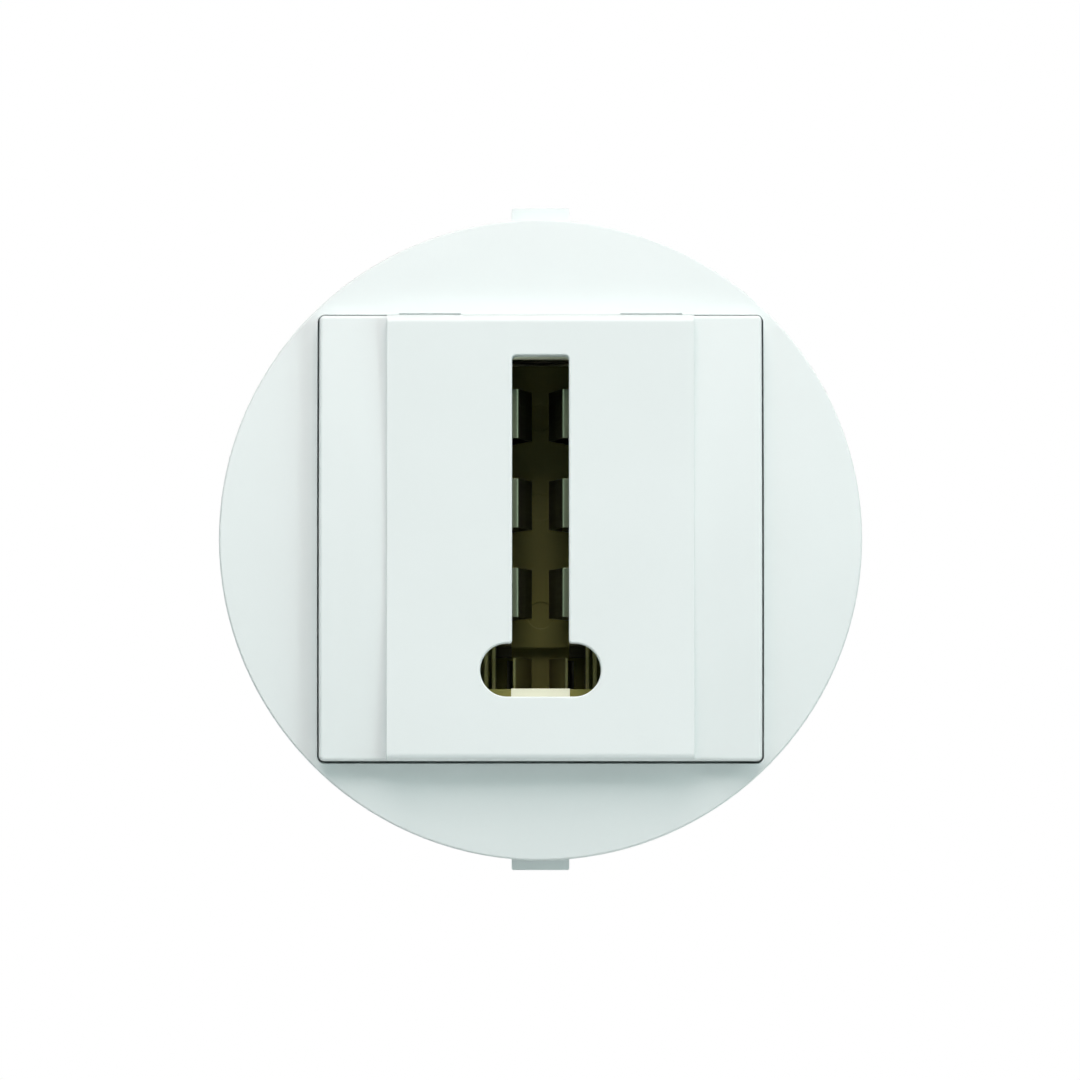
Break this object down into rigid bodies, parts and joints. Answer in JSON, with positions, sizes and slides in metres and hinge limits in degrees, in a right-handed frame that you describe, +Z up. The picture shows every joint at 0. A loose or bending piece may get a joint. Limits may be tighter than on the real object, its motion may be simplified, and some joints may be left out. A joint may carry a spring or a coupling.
{
  "type": "telephone socket",
  "caption": "Flush wall telephone socket: a square module with a T-shaped plug slot and facing spring contacts, set in a round cover disc, with screw terminals behind.",
  "frame": {"origin": "centre of the cover disc, in the plane of its rear rim, which seats on the wall frame", "axes": "+X right as seen from the front, +Y into the wall, +Z up; the front faces -Y"},
  "size_m": [0.0656, 0.0243, 0.068],
  "materials": {
    "disc_plastic": "cool white moulded plastic, fine satin",
    "cover_plastic": "cool white moulded plastic, fine satin",
    "body_plastic": "ivory moulded plastic",
    "contact_metal": "nickel-plated spring bronze",
    "screw_metal": "zinc-plated steel",
    "washer_metal": "plated steel"
  },
  "bodies": {
    "root": {"cover_disc": "disc_plastic", "front_cover": "cover_plastic", "socket_body": "body_plastic", "terminal_block": "body_plastic", "contact_1": "contact_metal", "contact_2": "contact_metal", "contact_3": "contact_metal", "contact_4": "contact_metal", "contact_5": "contact_metal", "contact_6": "contact_metal", "contact_7": "contact_metal", "contact_8": "contact_metal", "terminal_screws": "screw_metal", "clamp_washers": "washer_metal"}
  },
  "joints": []
}
